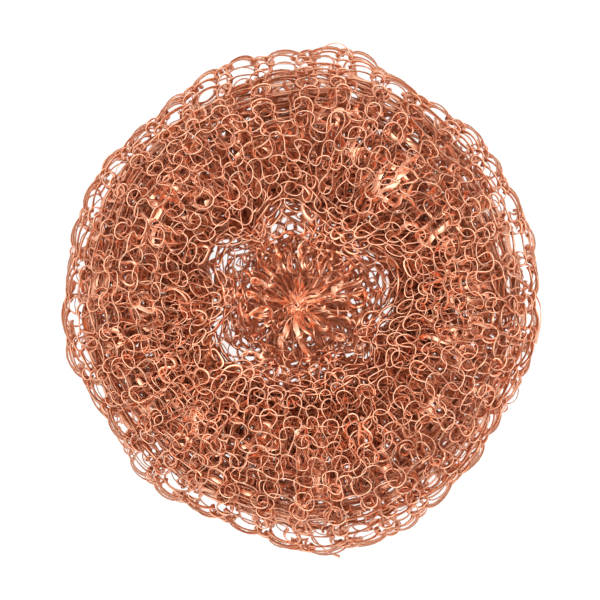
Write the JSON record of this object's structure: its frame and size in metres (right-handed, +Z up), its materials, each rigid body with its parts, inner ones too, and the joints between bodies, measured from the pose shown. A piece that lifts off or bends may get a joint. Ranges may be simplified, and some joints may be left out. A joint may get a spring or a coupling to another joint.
{
  "type": "copper scourer",
  "caption": "Round scouring pad of knitted flat copper wire, rolled into a soft ring and gathered in the middle, with a scalloped rim and a finger hollow on top.",
  "frame": {"origin": "middle of the pad's footprint, on the plane that it lies on", "axes": "+Z up through the gathered middle, +Y along the slightly longer way across the pad"},
  "size_m": [0.079, 0.0828, 0.028],
  "materials": {
    "copper_wire": "bright drawn flat copper wire, knitted"
  },
  "bodies": {
    "root": {"knitted_wire_pad": "copper_wire"}
  },
  "joints": []
}
